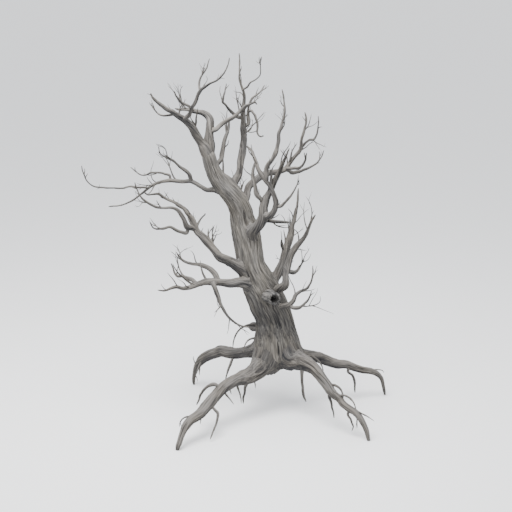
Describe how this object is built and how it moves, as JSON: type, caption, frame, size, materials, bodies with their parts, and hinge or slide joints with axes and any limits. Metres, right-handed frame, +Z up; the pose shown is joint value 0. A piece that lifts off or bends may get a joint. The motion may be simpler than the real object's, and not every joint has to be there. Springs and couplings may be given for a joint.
{
  "type": "dead tree",
  "caption": "Bare, weathered dead tree with a leaning, twisted trunk, a broken hollow stub and crooked tapering boughs, standing on arching exposed roots.",
  "frame": {"origin": "centre of the level cut foot of the largest, front left root, on the ground", "axes": "+Z up, -Y towards the front of the tree, +X to the right as seen from the front; the ground is the plane z = 0"},
  "size_m": [6.1545, 4.2067, 7.2565],
  "materials": {
    "weathered_wood": "matt, grey, barkless weathered wood with a long twisted grain",
    "root_wood": "matt, paler grey-brown washed root wood",
    "old_wood": "matt, dark rotted wood at broken stubs"
  },
  "bodies": {
    "root": {"trunk": "weathered_wood", "root_front_left": "root_wood", "root_front_right": "root_wood", "root_back_left": "root_wood", "root_back_right": "root_wood", "rootlet_front_left_1": "root_wood", "rootlet_front_left_2": "root_wood", "rootlet_front_left_3": "root_wood", "rootlet_back_left": "root_wood", "rootlet_front_right_1": "root_wood", "rootlet_front_right_2": "root_wood", "rootlet_front_right_3": "root_wood", "rootlet_back_right": "root_wood", "hollow_stub": "old_wood", "knob": "old_wood", "left_bough": "weathered_wood", "left_bough_middle": "weathered_wood", "left_bough_low": "weathered_wood", "upper_left_bough": "weathered_wood", "upper_left_long": "weathered_wood", "upper_left_fork": "weathered_wood", "upper_left_rise": "weathered_wood", "low_left_bough": "weathered_wood", "low_left_upper": "weathered_wood", "low_left_rise": "weathered_wood", "low_left_hanging": "weathered_wood", "top_left": "weathered_wood", "top_left_low": "weathered_wood", "top_rise": "weathered_wood", "top_rise_inner": "weathered_wood", "top_rise_left": "weathered_wood", "top_right": "weathered_wood", "top_bridge": "weathered_wood", "inner_left": "weathered_wood", "inner_tall": "weathered_wood", "inner_tall_right": "weathered_wood", "inner_tall_left": "weathered_wood", "inner_right": "weathered_wood", "inner_droop": "weathered_wood", "back_bough": "weathered_wood", "back_bough_outer": "weathered_wood", "back_bough_level": "weathered_wood", "back_bough_low": "weathered_wood", "right_bough": "weathered_wood", "right_bough_front": "weathered_wood", "right_bough_inner": "weathered_wood", "right_bough_side": "weathered_wood", "tall_right": "weathered_wood", "cross_bough": "weathered_wood", "low_right_bough": "weathered_wood", "low_right_front": "weathered_wood", "low_right_spur": "weathered_wood", "low_right_twist": "weathered_wood", "low_right_curl": "weathered_wood", "rear_bough": "weathered_wood", "rear_left_bough": "weathered_wood", "rear_right_bough": "weathered_wood", "rear_top_bough": "weathered_wood"}
  },
  "joints": []
}
